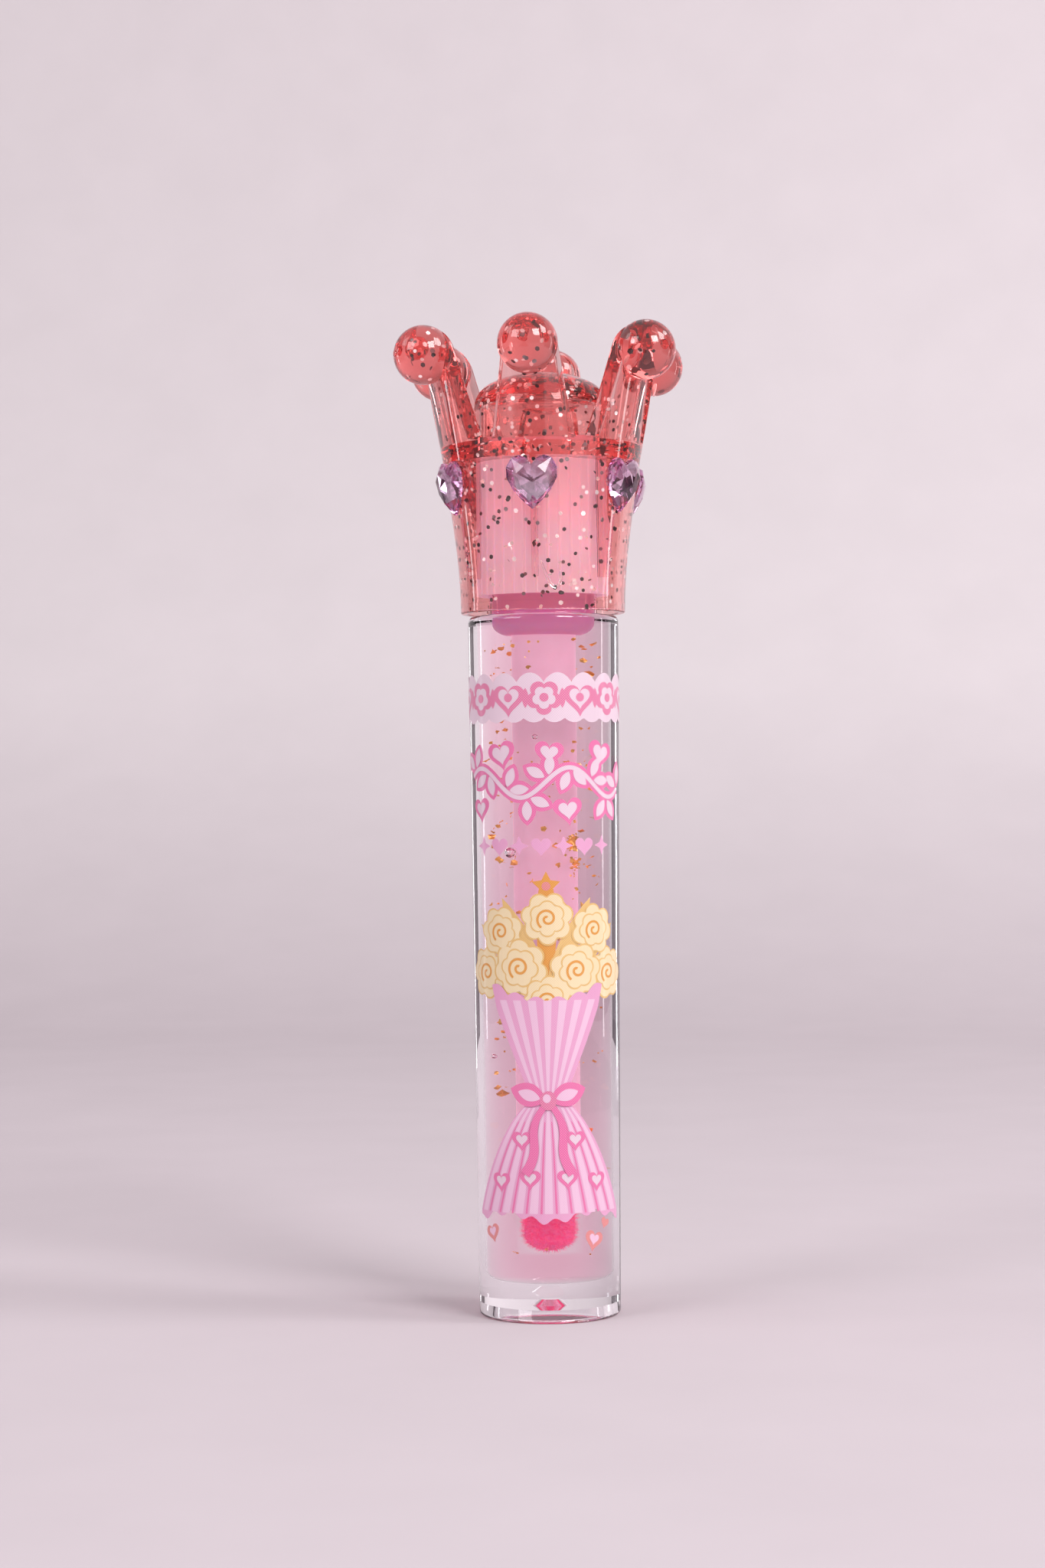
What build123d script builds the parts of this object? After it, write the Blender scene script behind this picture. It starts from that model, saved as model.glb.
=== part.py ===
from build123d import *

import os
from math import atan, cos, pi, radians, sin, sqrt, tan

# Crown-topped lip gloss tube, in millimetres, +Z up, origin at the centre of the foot.
#
# The bottle is a thick-walled clear moulding with a drafted cavity and a threaded neck, plugged by
# a soft wiper. The cap is an inner cap with the thread, a glittered crown pressed over it with six
# glued heart stones, and a wand whose flocked tip reaches nearly to the cavity floor.
# One crown point faces -Y, which is the front.

# ---- bottle -------------------------------------------------------------------------------
FOOT_RADIUS = 8.22  # outer radius where the bottle stands
SHOULDER_RADIUS = 8.77  # outer radius at the shoulder, wider by the mould draft
SHOULDER_HEIGHT = 81.1
NECK_RADIUS = 6.3
NECK_TOP = 92.0
FLOOR_HEIGHT = 4.2  # inside floor of the cavity
FLOOR_BORE = 4.7  # cavity radius at the floor
NECK_BORE = 5.06  # cavity radius at the neck's mouth
RECESS_DEPTH = 1.4  # hollow under the foot
RECESS_RADIUS = 6.6
RECESS_DRAFT = 0.25
GATE_DEPTH = 0.7  # conical gate mark in the middle of the recess
GATE_RADIUS = 1.4
GATE_TIP_RADIUS = 0.77
SHOULDER_ROUND = 0.7
FOOT_ROUND = 0.5
FLOOR_ROUND = 0.8

# ---- screw thread, right-handed, one start ------------------------------------------------
THREAD_PITCH = 3.0
RIDGE_START = 84.6  # height of the middle of the neck's ridge where it starts
RIDGE_TURNS = 2.0
RIDGE_DEPTH = 0.6
RIDGE_ROOT = 1.2  # width at the neck
RIDGE_CREST = 0.5
GROOVE_DEPTH = 0.3  # groove that clears the ridge in the inner cap's wall
GROOVE_MOUTH = 1.5
GROOVE_FLOOR = 0.8
GROOVE_LEAD = 1.0  # turns by which the groove runs past the ridge, out of the cap's mouth
THREAD_SINK = 0.25  # how far a ridge is sunk into its wall

# ---- wiper --------------------------------------------------------------------------------
WIPER_FLANGE_RADIUS = 6.0
WIPER_FLANGE = 0.8
WIPER_PLUG_GAP = 0.02
WIPER_WALL = 0.6
WIPER_PLUG_BOTTOM = 87.6
WIPER_SKIRT_TOP = 85.6
WIPER_SKIRT_RADIUS = 3.85
WIPER_BOWL_TOP = 80.4  # the skirt rounds in below this height
WIPER_BOTTOM = 78.8
WIPER_LIP_RADIUS = 2.85  # outside of the lip round the wand
ORIFICE_RADIUS = 2.5
LIP_HEIGHT = 1.2
BOWL_BULGE = 0.3

# ---- gloss --------------------------------------------------------------------------------
GLOSS_GAP = 0.02
GLOSS_TOP = 84.2
WIPER_POCKET_GAP = 0.1
WIPER_POCKET = WIPER_SKIRT_RADIUS + WIPER_POCKET_GAP  # hole in the gloss round the wiper's skirt

# ---- wand ---------------------------------------------------------------------------------
STEM_RADIUS = 2.42
STEM_BOTTOM = 20.2
TIP_BOTTOM = 7.3
FLOCK_RADIUS = 2.3
FLOCK_DEPTH = 0.5
SPIGOT_RADIUS = 1.3
SPIGOT_LENGTH = 5.0
CORE_GAP = 0.02
SEAL_CONE_RADIUS = 3.9
SEAL_CONE_LENGTH = 3.0
WAND_FLANGE_RADIUS = 5.6
WAND_FLANGE = 1.15
WAND_PLUG_RADIUS = 3.9
WAND_PLUG_LENGTH = 2.6
RUNNING_GAP = 0.05

# ---- inner cap ----------------------------------------------------------------------------
INNER_CAP_RADIUS = 7.55
INNER_CAP_BORE = 7.0
INNER_CAP_BOTTOM = 83.4
FLUTE_COUNT = 36
FLUTE_RADIUS = 0.2  # half-round ribs along the outside of the inner cap

# ---- crown --------------------------------------------------------------------------------
CROWN_BOTTOM = 81.4
CROWN_WALL = 1.05
RIM_STEP_HEIGHT = 1.1  # the mouth is slightly wider than the bore above it
RIM_STEP = 0.2
PLATE_BOTTOM = 98.9
PLATE_TOP = 100.95
POINT_LEAN = 11.8  # degrees, outward lean of the points and of the wall's upper edge
CUP_OUTLINE = [(9.57, CROWN_BOTTOM), (10.05, 89.0), (10.88, 95.0), (11.85, PLATE_TOP)]
DOME_RADIUS = 7.9
DOME_TOP = 109.6
DOME_TOP_RADIUS = 13.9  # radius of the dome's shallow top
DOME_SHOULDER_ROUND = 3.5
DOME_BORE = 7.0
DOME_CEILING = 106.2
DOME_CEILING_ROUND = 1.2
CROWN_EDGE_ROUND = 0.2
RIB_WIDTH = 0.68
RIB_BOTTOM = 85.3
RIB_BITE = 0.05  # how far the ribs press into the inner cap's flutes
RIB_FOOT_RADIUS = 9.2  # where the rib's outer edge lies inside the wall, at its foot and its head
RIB_HEAD_RADIUS = 10.85
POINT_COUNT = 6
POINT_THICKNESS = 1.45
POINT_HALF_WIDTH = 5.12  # at the foot of the outline
POINT_SINK = 1.0  # how far the outline's foot reaches below the plate's top
POINT_TIP_RADIUS = 3.67
POINT_TIP_HEIGHT = 10.4  # from the plate up the point to the centre of its round end
POINT_SIDE_DRAFT = 18.0  # degrees, the sides of a point close in towards its outer face
POINT_ROUND = 0.2
POINT_PLANE_RADIUS = 8.8  # distance of the outline's foot from the axis
POINT_REACH = 7.0  # far enough out to pass the points' outer face
BALL_RADIUS = 3.42
BALL_RING_RADIUS = 14.77
BALL_HEIGHT = 110.9
NUB_RADIUS = 0.35
NUB_HEIGHT = 0.12

# ---- heart stones -------------------------------------------------------------------------
STONE_WIDTH = 5.9
STONE_HEIGHT = 6.1
STONE_CENTRE_HEIGHT = 95.7
STONE_LEAN = 9.0  # degrees, follows the crown's wall
STONE_BACK_RADIUS = 11.12  # distance of the flat back from the axis, a thin glue line off the wall
# Height above the flat back and scale of the outline, for the back, the girdle, the bezel and the table
STONE_LEVELS = [(0, 1.0), (0.45, 1.0), (1.1, 0.82), (1.75, 0.45)]
# Right half of the heart, in half widths and half heights, from the notch round to the tip
HEART_HALF = [
    (0, 0.68),
    (0.22, 0.92),
    (0.52, 1),
    (0.82, 0.86),
    (1, 0.48),
    (0.94, 0.08),
    (0.62, -0.44),
    (0, -1),
]
GLUE_SCALE = 0.9
GLUE_DEPTH = 1.1

CONE_SLOPE = (NECK_BORE - FLOOR_BORE) / (NECK_TOP - FLOOR_HEIGHT)


def bore_at(height):
    """Radius of the bottle's drafted cavity at a height."""
    return FLOOR_BORE + CONE_SLOPE * (height - FLOOR_HEIGHT)


def facing_plane(radius, height, lean, angle):
    """Plane that faces outward and tips down by its lean, with its local Y up the wall."""
    turn = radians(angle - 90)
    outward = (cos(turn), sin(turn))
    return Plane(
        origin=(radius * outward[0], radius * outward[1], height),
        x_dir=(-outward[1], outward[0], 0),
        z_dir=(outward[0] * cos(radians(lean)), outward[1] * cos(radians(lean)), -sin(radians(lean))),
    )


def round_nose(radius):
    """Quarter circle from the axis out to the side of the applicator's tip."""
    return CenterArc((0, TIP_BOTTOM + FLOCK_RADIUS), radius, -90, 90)


def thread_ridge(radius, start_height, turns, depth, root, crest):
    """Trapezoid ridge that climbs round a wall and stands out from it."""
    climb = atan(THREAD_PITCH / (2 * pi * radius))
    across = Plane(origin=(radius, 0, start_height), x_dir=(1, 0, 0), z_dir=(0, cos(climb), sin(climb)))
    with BuildPart() as made:
        with BuildLine():
            Helix(THREAD_PITCH, turns * THREAD_PITCH, radius, center=(0, 0, start_height))
        with BuildSketch(across):
            with BuildLine():
                Polyline(
                    (-THREAD_SINK, -root / 2),
                    (0, -root / 2),
                    (depth, -crest / 2),
                    (depth, crest / 2),
                    (0, root / 2),
                    (-THREAD_SINK, root / 2),
                    close=True,
                )
            make_face()
        sweep(is_frenet=True)
    return made.part


os.makedirs("parts", exist_ok=True)

# ---- bottle -------------------------------------------------------------------------------
neck_ridge = thread_ridge(NECK_RADIUS, RIDGE_START, RIDGE_TURNS, RIDGE_DEPTH, RIDGE_ROOT, RIDGE_CREST)

with BuildPart() as bottle:
    with BuildSketch(Plane.XZ) as profile:
        with BuildLine():
            Polyline(
                (0, FLOOR_HEIGHT),
                (FLOOR_BORE, FLOOR_HEIGHT),
                (NECK_BORE, NECK_TOP),
                (NECK_RADIUS, NECK_TOP),
                (NECK_RADIUS, SHOULDER_HEIGHT),
                (SHOULDER_RADIUS, SHOULDER_HEIGHT),
                (FOOT_RADIUS, 0),
                (RECESS_RADIUS, 0),
                (RECESS_RADIUS - RECESS_DRAFT, RECESS_DEPTH),
                (GATE_RADIUS, RECESS_DEPTH),
                (GATE_TIP_RADIUS, RECESS_DEPTH + GATE_DEPTH),
                (0, RECESS_DEPTH + GATE_DEPTH),
                close=True,
            )
        make_face()
        fillet(profile.vertices().sort_by_distance((SHOULDER_RADIUS, SHOULDER_HEIGHT, 0))[0], SHOULDER_ROUND)
        fillet(profile.vertices().sort_by_distance((FOOT_RADIUS, 0, 0))[0], FOOT_ROUND)
        fillet(profile.vertices().sort_by_distance((FLOOR_BORE, FLOOR_HEIGHT, 0))[0], FLOOR_ROUND)
    revolve(axis=Axis.Z)
    add(neck_ridge)

bottle.part.label = "bottle"
export_step(bottle.part, "parts/bottle.step")

# ---- wiper --------------------------------------------------------------------------------
with BuildPart() as wiper:
    with BuildSketch(Plane.XZ):
        with BuildLine():
            plug_radius = bore_at(WIPER_PLUG_BOTTOM) - WIPER_PLUG_GAP
            outside = Polyline(
                (WIPER_FLANGE_RADIUS, NECK_TOP + WIPER_FLANGE),
                (WIPER_FLANGE_RADIUS, NECK_TOP),
                (plug_radius, NECK_TOP),
                (plug_radius, WIPER_PLUG_BOTTOM),
                (WIPER_SKIRT_RADIUS, WIPER_SKIRT_TOP),
                (WIPER_SKIRT_RADIUS, WIPER_BOWL_TOP),
            )
            bowl = SagittaArc(outside @ 1, (WIPER_LIP_RADIUS, WIPER_BOTTOM), BOWL_BULGE)
            Polyline(
                bowl @ 1,
                (ORIFICE_RADIUS, WIPER_BOTTOM),
                (ORIFICE_RADIUS, WIPER_BOTTOM + LIP_HEIGHT),
                (WIPER_SKIRT_RADIUS - WIPER_WALL, WIPER_BOWL_TOP + LIP_HEIGHT),
                (WIPER_SKIRT_RADIUS - WIPER_WALL, WIPER_SKIRT_TOP),
                (plug_radius - WIPER_WALL, WIPER_PLUG_BOTTOM),
                (plug_radius - WIPER_WALL, NECK_TOP + WIPER_FLANGE),
                outside @ 0,
            )
        make_face()
    revolve(axis=Axis.Z)

wiper.part.label = "wiper"
export_step(wiper.part, "parts/wiper.step")

# ---- gloss --------------------------------------------------------------------------------
with BuildPart() as gloss_fill:
    with BuildSketch(Plane.XZ) as profile:
        with BuildLine():
            pocket_bottom = (WIPER_LIP_RADIUS + WIPER_POCKET_GAP, WIPER_BOTTOM - RUNNING_GAP)
            pocket = SagittaArc((WIPER_POCKET, WIPER_BOWL_TOP), pocket_bottom, BOWL_BULGE)
            Polyline(
                pocket @ 1,
                (ORIFICE_RADIUS, WIPER_BOTTOM - RUNNING_GAP),
                (ORIFICE_RADIUS, TIP_BOTTOM - RUNNING_GAP),
                (0, TIP_BOTTOM - RUNNING_GAP),
                (0, FLOOR_HEIGHT),
                (FLOOR_BORE - GLOSS_GAP, FLOOR_HEIGHT),
                (bore_at(GLOSS_TOP) - GLOSS_GAP, GLOSS_TOP),
                (WIPER_POCKET, GLOSS_TOP),
                pocket @ 0,
            )
        make_face()
        fillet(profile.vertices().sort_by_distance((FLOOR_BORE, FLOOR_HEIGHT, 0))[0], FLOOR_ROUND)
    revolve(axis=Axis.Z)

gloss_fill.part.label = "gloss_fill"
export_step(gloss_fill.part, "parts/gloss_fill.step")

# ---- wand ---------------------------------------------------------------------------------
flange_bottom = NECK_TOP + WIPER_FLANGE + RUNNING_GAP
flange_top = flange_bottom + WAND_FLANGE
plug_top = flange_top + WAND_PLUG_LENGTH

with BuildPart() as wand_stem:
    with BuildSketch(Plane.XZ):
        with BuildLine():
            Polyline(
                (SPIGOT_RADIUS, STEM_BOTTOM),
                (STEM_RADIUS, STEM_BOTTOM),
                (STEM_RADIUS, flange_bottom - SEAL_CONE_LENGTH),
                (SEAL_CONE_RADIUS, flange_bottom),
                (WAND_FLANGE_RADIUS, flange_bottom),
                (WAND_FLANGE_RADIUS, flange_top),
                (WAND_PLUG_RADIUS, flange_top),
                (WAND_PLUG_RADIUS, plug_top),
                (0, plug_top),
                (0, STEM_BOTTOM + SPIGOT_LENGTH),
                (SPIGOT_RADIUS, STEM_BOTTOM + SPIGOT_LENGTH),
                close=True,
            )
        make_face()
    revolve(axis=Axis.Z)

wand_stem.part.label = "wand_stem"
export_step(wand_stem.part, "parts/wand_stem.step")

core_radius = FLOCK_RADIUS - FLOCK_DEPTH

with BuildPart() as tip_core:
    with BuildSketch(Plane.XZ):
        with BuildLine():
            nose = round_nose(core_radius)
            Polyline(
                nose @ 1,
                (core_radius, STEM_BOTTOM),
                (SPIGOT_RADIUS - CORE_GAP, STEM_BOTTOM),
                (SPIGOT_RADIUS - CORE_GAP, STEM_BOTTOM + SPIGOT_LENGTH - CORE_GAP),
                (0, STEM_BOTTOM + SPIGOT_LENGTH - CORE_GAP),
                nose @ 0,
            )
        make_face()
    revolve(axis=Axis.Z)

tip_core.part.label = "tip_core"
export_step(tip_core.part, "parts/tip_core.step")

with BuildPart() as tip_flock:
    with BuildSketch(Plane.XZ):
        with BuildLine():
            outer_nose = round_nose(FLOCK_RADIUS)
            inner_nose = round_nose(core_radius)
            Line(outer_nose @ 0, inner_nose @ 0)
            Polyline(
                outer_nose @ 1,
                (FLOCK_RADIUS, STEM_BOTTOM),
                (core_radius, STEM_BOTTOM),
                inner_nose @ 1,
            )
        make_face()
    revolve(axis=Axis.Z)

tip_flock.part.label = "tip_flock"
export_step(tip_flock.part, "parts/tip_flock.step")

# ---- inner cap ----------------------------------------------------------------------------
thread_groove = thread_ridge(
    INNER_CAP_BORE,
    RIDGE_START - GROOVE_LEAD * THREAD_PITCH,
    RIDGE_TURNS + GROOVE_LEAD,
    GROOVE_DEPTH,
    GROOVE_MOUTH,
    GROOVE_FLOOR,
)

with BuildPart() as inner_cap:
    with BuildSketch(Plane.XY.offset(INNER_CAP_BOTTOM)):
        Circle(INNER_CAP_RADIUS)
        with PolarLocations(INNER_CAP_RADIUS, FLUTE_COUNT, start_angle=-90):
            Circle(FLUTE_RADIUS)
    extrude(amount=PLATE_BOTTOM - INNER_CAP_BOTTOM)
    with BuildSketch(Plane.XY.offset(INNER_CAP_BOTTOM)):
        Circle(INNER_CAP_BORE)
    extrude(amount=flange_top + RUNNING_GAP - INNER_CAP_BOTTOM, mode=Mode.SUBTRACT)
    with BuildSketch(Plane.XY.offset(flange_top)):
        Circle(WAND_PLUG_RADIUS + RUNNING_GAP)
    extrude(amount=WAND_PLUG_LENGTH + RUNNING_GAP, mode=Mode.SUBTRACT)
    add(thread_groove, mode=Mode.SUBTRACT)

inner_cap.part.label = "inner_cap"
export_step(inner_cap.part, "parts/inner_cap.step")

# ---- one crown point with its ball, and one rib ----------------------------------------------
point_rise = (sin(radians(POINT_LEAN)), cos(radians(POINT_LEAN)))
cup_edge_radius = CUP_OUTLINE[-1][0]
shell_top = BALL_HEIGHT + 2 * BALL_RADIUS
shell_top_radius = cup_edge_radius + (shell_top - PLATE_TOP) * tan(radians(POINT_LEAN))
shell_step = POINT_THICKNESS / cos(radians(POINT_LEAN))

with BuildPart() as crown_point:
    with BuildSketch(facing_plane(POINT_PLANE_RADIUS, PLATE_TOP, POINT_LEAN, 0)):
        with BuildLine():
            Line((-POINT_HALF_WIDTH, -POINT_SINK), (POINT_HALF_WIDTH, -POINT_SINK))
            CenterArc((0, POINT_TIP_HEIGHT), POINT_TIP_RADIUS, 0, 360)
        make_hull()
    extrude(amount=POINT_REACH, taper=POINT_SIDE_DRAFT)
    with BuildSketch(Plane.XZ):
        with BuildLine():
            Polyline(
                (cup_edge_radius - shell_step, PLATE_TOP),
                (cup_edge_radius, PLATE_TOP),
                (shell_top_radius, shell_top),
                (shell_top_radius - shell_step, shell_top),
                close=True,
            )
        make_face()
    revolve(axis=Axis.Z, mode=Mode.INTERSECT)
    upper_edges = crown_point.edges().filter_by(lambda edge: edge.center().Z > PLATE_TOP + 0.01)
    fillet(upper_edges, POINT_ROUND)
    with Locations((0, -BALL_RING_RADIUS, BALL_HEIGHT)):
        Sphere(BALL_RADIUS)
        Cylinder(
            NUB_RADIUS,
            BALL_RADIUS + NUB_HEIGHT,
            rotation=(90, 0, 0),
            align=(Align.CENTER, Align.CENTER, Align.MIN),
        )

with BuildPart() as rib:
    with BuildSketch(Plane.YZ):
        with BuildLine():
            rib_edge = -(INNER_CAP_RADIUS + FLUTE_RADIUS - RIB_BITE)
            Polyline(
                (rib_edge, RIB_BOTTOM),
                (-RIB_FOOT_RADIUS, RIB_BOTTOM),
                (-RIB_HEAD_RADIUS, PLATE_BOTTOM + RIB_WIDTH),
                (rib_edge, PLATE_BOTTOM + RIB_WIDTH),
                close=True,
            )
        make_face()
    extrude(amount=RIB_WIDTH / 2, both=True)

# ---- crown --------------------------------------------------------------------------------
dome_corner = DOME_TOP - DOME_TOP_RADIUS + sqrt(DOME_TOP_RADIUS**2 - DOME_RADIUS**2)

with BuildPart() as crown_shell:
    with BuildSketch(Plane.XZ) as profile:
        with BuildLine():
            wall = Spline(*CUP_OUTLINE, tangents=((0, 1), point_rise))
            side = Polyline(wall @ 1, (DOME_RADIUS, PLATE_TOP), (DOME_RADIUS, dome_corner))
            dome = RadiusArc(side @ 1, (0, DOME_TOP), -DOME_TOP_RADIUS)
            Polyline(dome @ 1, (0, CROWN_BOTTOM), wall @ 0)
        make_face()
        fillet(profile.vertices().sort_by_distance((DOME_RADIUS, dome_corner, 0))[0], DOME_SHOULDER_ROUND)
        with BuildLine():
            inside = Spline(*[(r - CROWN_WALL, z) for r, z in CUP_OUTLINE], tangents=((0, 1), point_rise))
            Polyline(inside @ 1, (0, PLATE_TOP), (0, CROWN_BOTTOM), inside @ 0)
        make_face(mode=Mode.SUBTRACT)
        with BuildLine():
            Polyline(
                (0, PLATE_BOTTOM),
                (cup_edge_radius - CROWN_WALL, PLATE_BOTTOM),
                (cup_edge_radius - CROWN_WALL / 2, PLATE_TOP),
                (0, PLATE_TOP),
                close=True,
            )
        make_face()
        with BuildLine():
            ceiling = FilletPolyline(
                (0, DOME_CEILING),
                (DOME_BORE, DOME_CEILING),
                (DOME_BORE, PLATE_BOTTOM),
                radius=DOME_CEILING_ROUND,
            )
            Polyline(ceiling @ 1, (0, PLATE_BOTTOM), ceiling @ 0)
        make_face(mode=Mode.SUBTRACT)
        with BuildLine():
            mouth = CUP_OUTLINE[0][0] - CROWN_WALL + RIM_STEP
            Polyline(
                (0, CROWN_BOTTOM),
                (mouth, CROWN_BOTTOM),
                (mouth, CROWN_BOTTOM + RIM_STEP_HEIGHT),
                (0, CROWN_BOTTOM + RIM_STEP_HEIGHT),
                close=True,
            )
        make_face(mode=Mode.SUBTRACT)
        for corner in (
            (CUP_OUTLINE[0][0], CROWN_BOTTOM, 0),
            (mouth, CROWN_BOTTOM, 0),
            (DOME_RADIUS, PLATE_TOP, 0),
        ):
            fillet(profile.vertices().sort_by_distance(corner)[0], CROWN_EDGE_ROUND)
    revolve(axis=Axis.Z)
    with PolarLocations(0, POINT_COUNT):
        add(rib.part)
        add(crown_point.part)

crown_shell.part.label = "crown_shell"
export_step(crown_shell.part, "parts/crown_shell.step")

# ---- heart stones and their glue --------------------------------------------------------------
with BuildPart() as wall_core:
    with BuildSketch(Plane.XZ):
        with BuildLine():
            wall = Spline(*CUP_OUTLINE, tangents=((0, 1), point_rise))
            Polyline(wall @ 1, (0, PLATE_TOP), (0, CROWN_BOTTOM), wall @ 0)
        make_face()
    revolve(axis=Axis.Z)


def heart(scale):
    """Closed heart outline about the sketch's origin."""
    half = [(scale * x * STONE_WIDTH / 2, scale * y * STONE_HEIGHT / 2) for x, y in HEART_HALF]
    mirrored = [(-x, y) for x, y in reversed(half[1:-1])]
    return Polygon(*half, *mirrored, align=None)


for index in range(POINT_COUNT):
    back = facing_plane(STONE_BACK_RADIUS, STONE_CENTRE_HEIGHT, STONE_LEAN, 360 * index / POINT_COUNT)

    with BuildPart() as heart_gem:
        for rise, scale in STONE_LEVELS:
            with BuildSketch(back.offset(rise)):
                heart(scale)
        loft(ruled=True)
    heart_gem.part.label = f"heart_gem_{index + 1}"
    export_step(heart_gem.part, f"parts/heart_gem_{index + 1}.step")

    with BuildPart() as gem_glue:
        with BuildSketch(back):
            heart(GLUE_SCALE)
        extrude(amount=-GLUE_DEPTH)
        add(wall_core.part, mode=Mode.SUBTRACT)
    gem_glue.part.label = f"gem_glue_{index + 1}"
    export_step(gem_glue.part, f"parts/gem_glue_{index + 1}.step")
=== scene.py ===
"""Crown-topped lip gloss tube: looks, printing, glitter, flakes, light and camera round the CAD frame.

Lengths are metres in the CAD frame: +Z up, -Y the front. MM turns millimetres into metres.
"""

import random
from math import atan2, cos, hypot, pi, radians, sin, tan

import bmesh
import bpy
from mathutils import Matrix, Vector
from mathutils.bvhtree import BVHTree


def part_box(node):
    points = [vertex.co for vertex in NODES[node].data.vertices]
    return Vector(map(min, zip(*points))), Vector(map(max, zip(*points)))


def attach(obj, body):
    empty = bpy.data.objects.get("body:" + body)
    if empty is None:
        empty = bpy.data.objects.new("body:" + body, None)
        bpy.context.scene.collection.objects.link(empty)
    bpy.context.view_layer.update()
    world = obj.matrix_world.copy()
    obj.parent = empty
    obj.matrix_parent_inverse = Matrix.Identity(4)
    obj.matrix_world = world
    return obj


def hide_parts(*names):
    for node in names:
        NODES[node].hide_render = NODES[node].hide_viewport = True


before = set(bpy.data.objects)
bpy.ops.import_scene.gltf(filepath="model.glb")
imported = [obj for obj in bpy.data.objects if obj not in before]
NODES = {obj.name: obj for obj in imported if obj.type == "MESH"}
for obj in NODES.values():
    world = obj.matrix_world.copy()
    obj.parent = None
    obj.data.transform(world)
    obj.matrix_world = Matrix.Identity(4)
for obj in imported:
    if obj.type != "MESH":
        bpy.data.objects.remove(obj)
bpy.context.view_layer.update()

MM = 0.001
FRONT = -pi / 2  # angle round +Z of the object's front
POINTS = 6  # crown points, stones and glue pads


# ---- frame places ----
def span(node):
    """Lowest and highest corner of a CAD node as plain tuples of floats."""
    low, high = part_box(node)
    return tuple(low), tuple(high)


GLOSS_LOW, GLOSS_HIGH = span("gloss_fill")
CROWN_LOW, CROWN_HIGH = span("crown_shell")
WIPER_LOW = span("wiper")[0]
FLOCK_LOW, FLOCK_HIGH = span("tip_flock")
INNER_LOW, INNER_HIGH = span("inner_cap")


# ---- material helpers ----
def new_material(name):
    """Material with a node tree that holds only a Principled shader and the output."""
    material = bpy.data.materials.new(name)
    material.use_nodes = True
    tree = material.node_tree
    tree.nodes.clear()
    output = tree.nodes.new("ShaderNodeOutputMaterial")
    shader = tree.nodes.new("ShaderNodeBsdfPrincipled")
    tree.links.new(shader.outputs["BSDF"], output.inputs["Surface"])
    return material, tree, shader, output


def set_inputs(shader, **values):
    """Sets sockets by name, with underscores for the spaces."""
    for key, value in values.items():
        socket = shader.inputs[key.replace("_", " ")]
        if isinstance(value, tuple) and len(value) == 3 and socket.type == "RGBA":
            value = (*value, 1)
        socket.default_value = value


def absorb(tree, output, colour, per_metre):
    """Gives a glass its body colour: light fades towards the colour with the length of its path."""
    volume = tree.nodes.new("ShaderNodeVolumeAbsorption")
    volume.inputs["Color"].default_value = (*colour, 1)
    volume.inputs["Density"].default_value = per_metre
    tree.links.new(volume.outputs["Volume"], output.inputs["Volume"])


def noise_texture(tree, scale, detail=2.0, stretch=None):
    """Noise in object coordinates, stretched along an axis if asked."""
    coordinates = tree.nodes.new("ShaderNodeTexCoord")
    texture = tree.nodes.new("ShaderNodeTexNoise")
    texture.inputs["Scale"].default_value = scale
    texture.inputs["Detail"].default_value = detail
    source = coordinates.outputs["Object"]
    if stretch is not None:
        mapping = tree.nodes.new("ShaderNodeMapping")
        mapping.inputs["Scale"].default_value = stretch
        tree.links.new(source, mapping.inputs["Vector"])
        source = mapping.outputs["Vector"]
    tree.links.new(source, texture.inputs["Vector"])
    return texture


def bump(tree, shader, texture, strength, distance):
    """Drives the shader's normal from a texture's height."""
    node = tree.nodes.new("ShaderNodeBump")
    node.inputs["Strength"].default_value = strength
    node.inputs["Distance"].default_value = distance
    tree.links.new(texture.outputs[0], node.inputs["Height"])
    tree.links.new(node.outputs["Normal"], shader.inputs["Normal"])


def ramp(tree, factor, stops):
    """Colour ramp over a factor, from (position, colour) stops."""
    node = tree.nodes.new("ShaderNodeValToRGB")
    elements = node.color_ramp.elements
    while len(elements) < len(stops):
        elements.new(0.5)
    for element, (position, colour) in zip(elements, stops):
        element.position = position
        element.color = (*colour, 1)
    tree.links.new(factor, node.inputs["Fac"])
    return node


# ---- materials ----
WALL_IOR = 1.57
GLOSS_IOR = 1.55  # near the wall's, so that the gloss is seen almost out to the tube's edges


def clear_wall():
    """Thick clear moulded plastic."""
    material, tree, shader, output = new_material("clear_wall")
    set_inputs(shader, Base_Color=(0.99, 0.975, 0.995), Roughness=0.0, IOR=WALL_IOR, Transmission_Weight=1.0)
    return material


def wetted_wall():
    """Cavity wall where the gloss lies against the plastic: light bends only by the ratio of the two."""
    material, tree, shader, output = new_material("wetted_wall")
    ratio = WALL_IOR / GLOSS_IOR
    set_inputs(shader, Base_Color=(1, 1, 1), Roughness=0.0, IOR=ratio, Transmission_Weight=1.0)
    return material


def gloss_gel():
    """Clear pale pink gel; its surface bends nothing, because the wetted wall already does."""
    material, tree, shader, output = new_material("gloss_gel")
    set_inputs(shader, Base_Color=(1, 1, 1), Roughness=0.0, IOR=1.0, Transmission_Weight=1.0)
    absorb(tree, output, (0.965, 0.55, 0.70), 112)
    return material


def crown_plastic():
    """Clear coral moulded plastic: pale where thin, red where thick."""
    material, tree, shader, output = new_material("crown_plastic")
    set_inputs(shader, Base_Color=(0.978, 0.775, 0.765), Roughness=0.0)
    set_inputs(shader, IOR=WALL_IOR, Transmission_Weight=0.97)
    absorb(tree, output, (0.975, 0.20, 0.175), 275)
    ripple = noise_texture(tree, 260, detail=1.0, stretch=(1, 1, 0.35))
    bump(tree, shader, ripple, 0.10, 0.00006)
    return material


SCATTER = 1.2 * MM  # how far light spreads inside the soft plastics


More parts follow.
